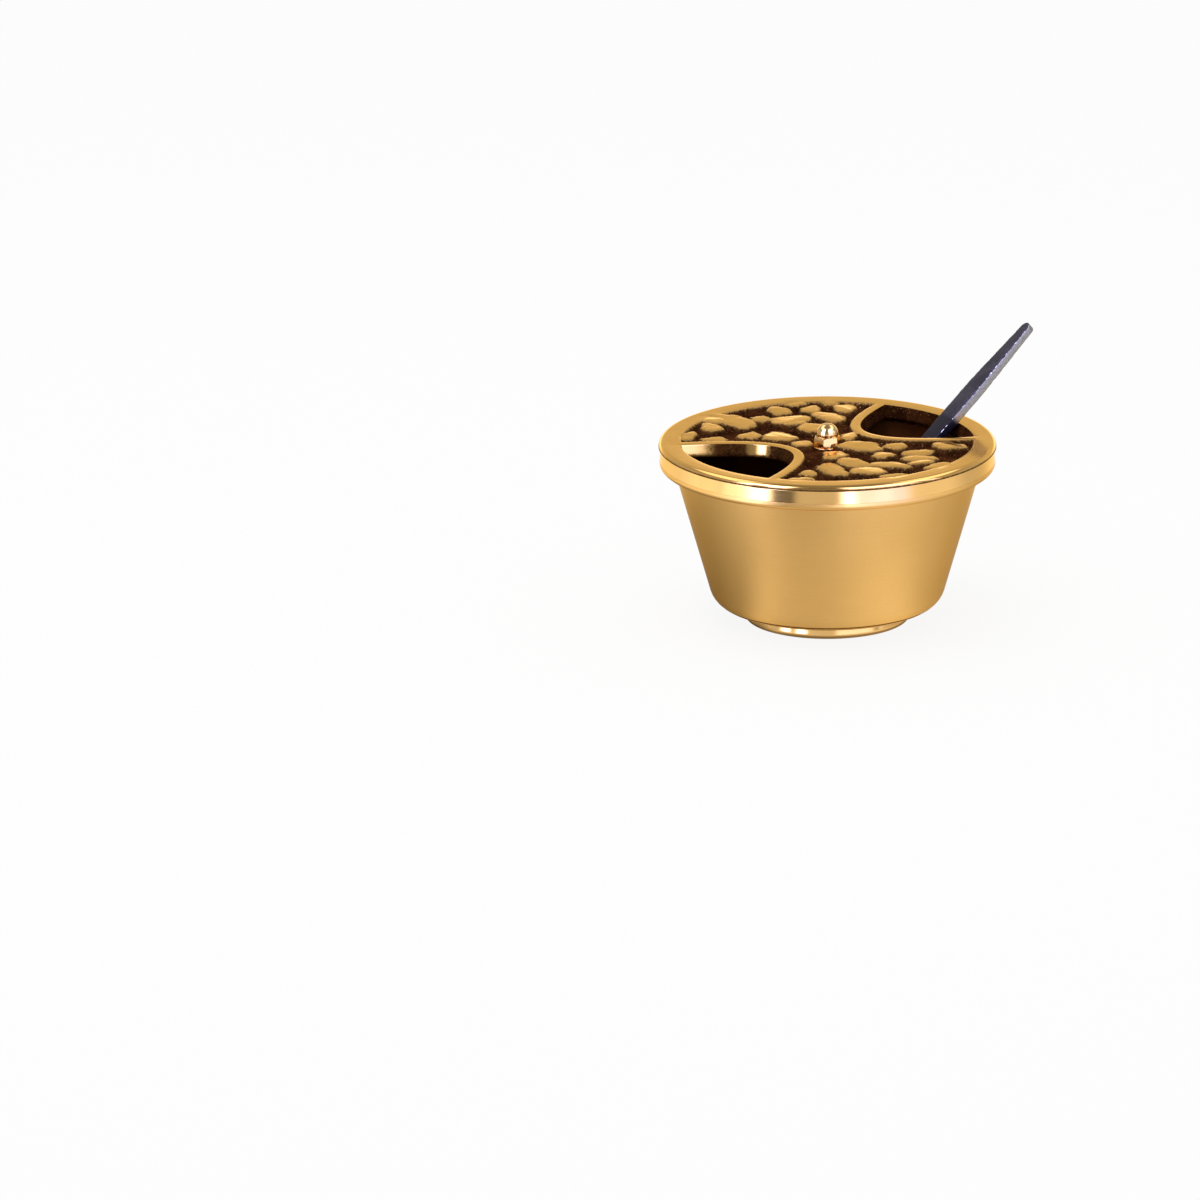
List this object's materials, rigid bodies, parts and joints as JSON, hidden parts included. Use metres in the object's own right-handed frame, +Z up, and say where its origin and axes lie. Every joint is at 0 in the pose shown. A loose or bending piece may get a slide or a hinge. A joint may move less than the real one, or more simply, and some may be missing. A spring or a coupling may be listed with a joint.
{
  "type": "incense boat",
  "caption": "Round tapered brass incense boat on a foot ring, with a lift-off cast lid in nugget relief and a dark-handled spoon leaning out through an opening in the lid.",
  "frame": {"origin": "middle of the foot ring's underside, on the table", "axes": "+Z up along the axis of the bowl and the lid, +X to the right and +Y away as the picture looks at it"},
  "size_m": [0.1136, 0.102, 0.0829],
  "materials": {
    "satin_brass": "satin, fine brushed",
    "polished_brass": "polished",
    "cast_brass": "satin tops over a dark brown patina",
    "blackened_metal": "blue-black, semi-gloss, hammered edges"
  },
  "bodies": {
    "bowl": {"bowl_shell": "satin_brass", "foot_ring": "polished_brass", "rim_band": "polished_brass"},
    "lid": {"lid_casting": "cast_brass", "lid_screw": "polished_brass", "lid_washer": "polished_brass", "cap_nut": "polished_brass"},
    "spoon": {"spoon_dish": "satin_brass", "spoon_handle": "blackened_metal", "spoon_rivets": "polished_brass"}
  },
  "joints": [
    {"name": "lid_lift", "type": "slide", "parent": "bowl", "child": "lid", "axis": [0, 0, 1], "range_m": [0, 0.06]},
    {"name": "spoon_pull", "type": "slide", "parent": "lid", "child": "spoon", "axis": [0.6417, 0.3631, 0.6756], "range_m": [0, 0.09]}
  ]
}
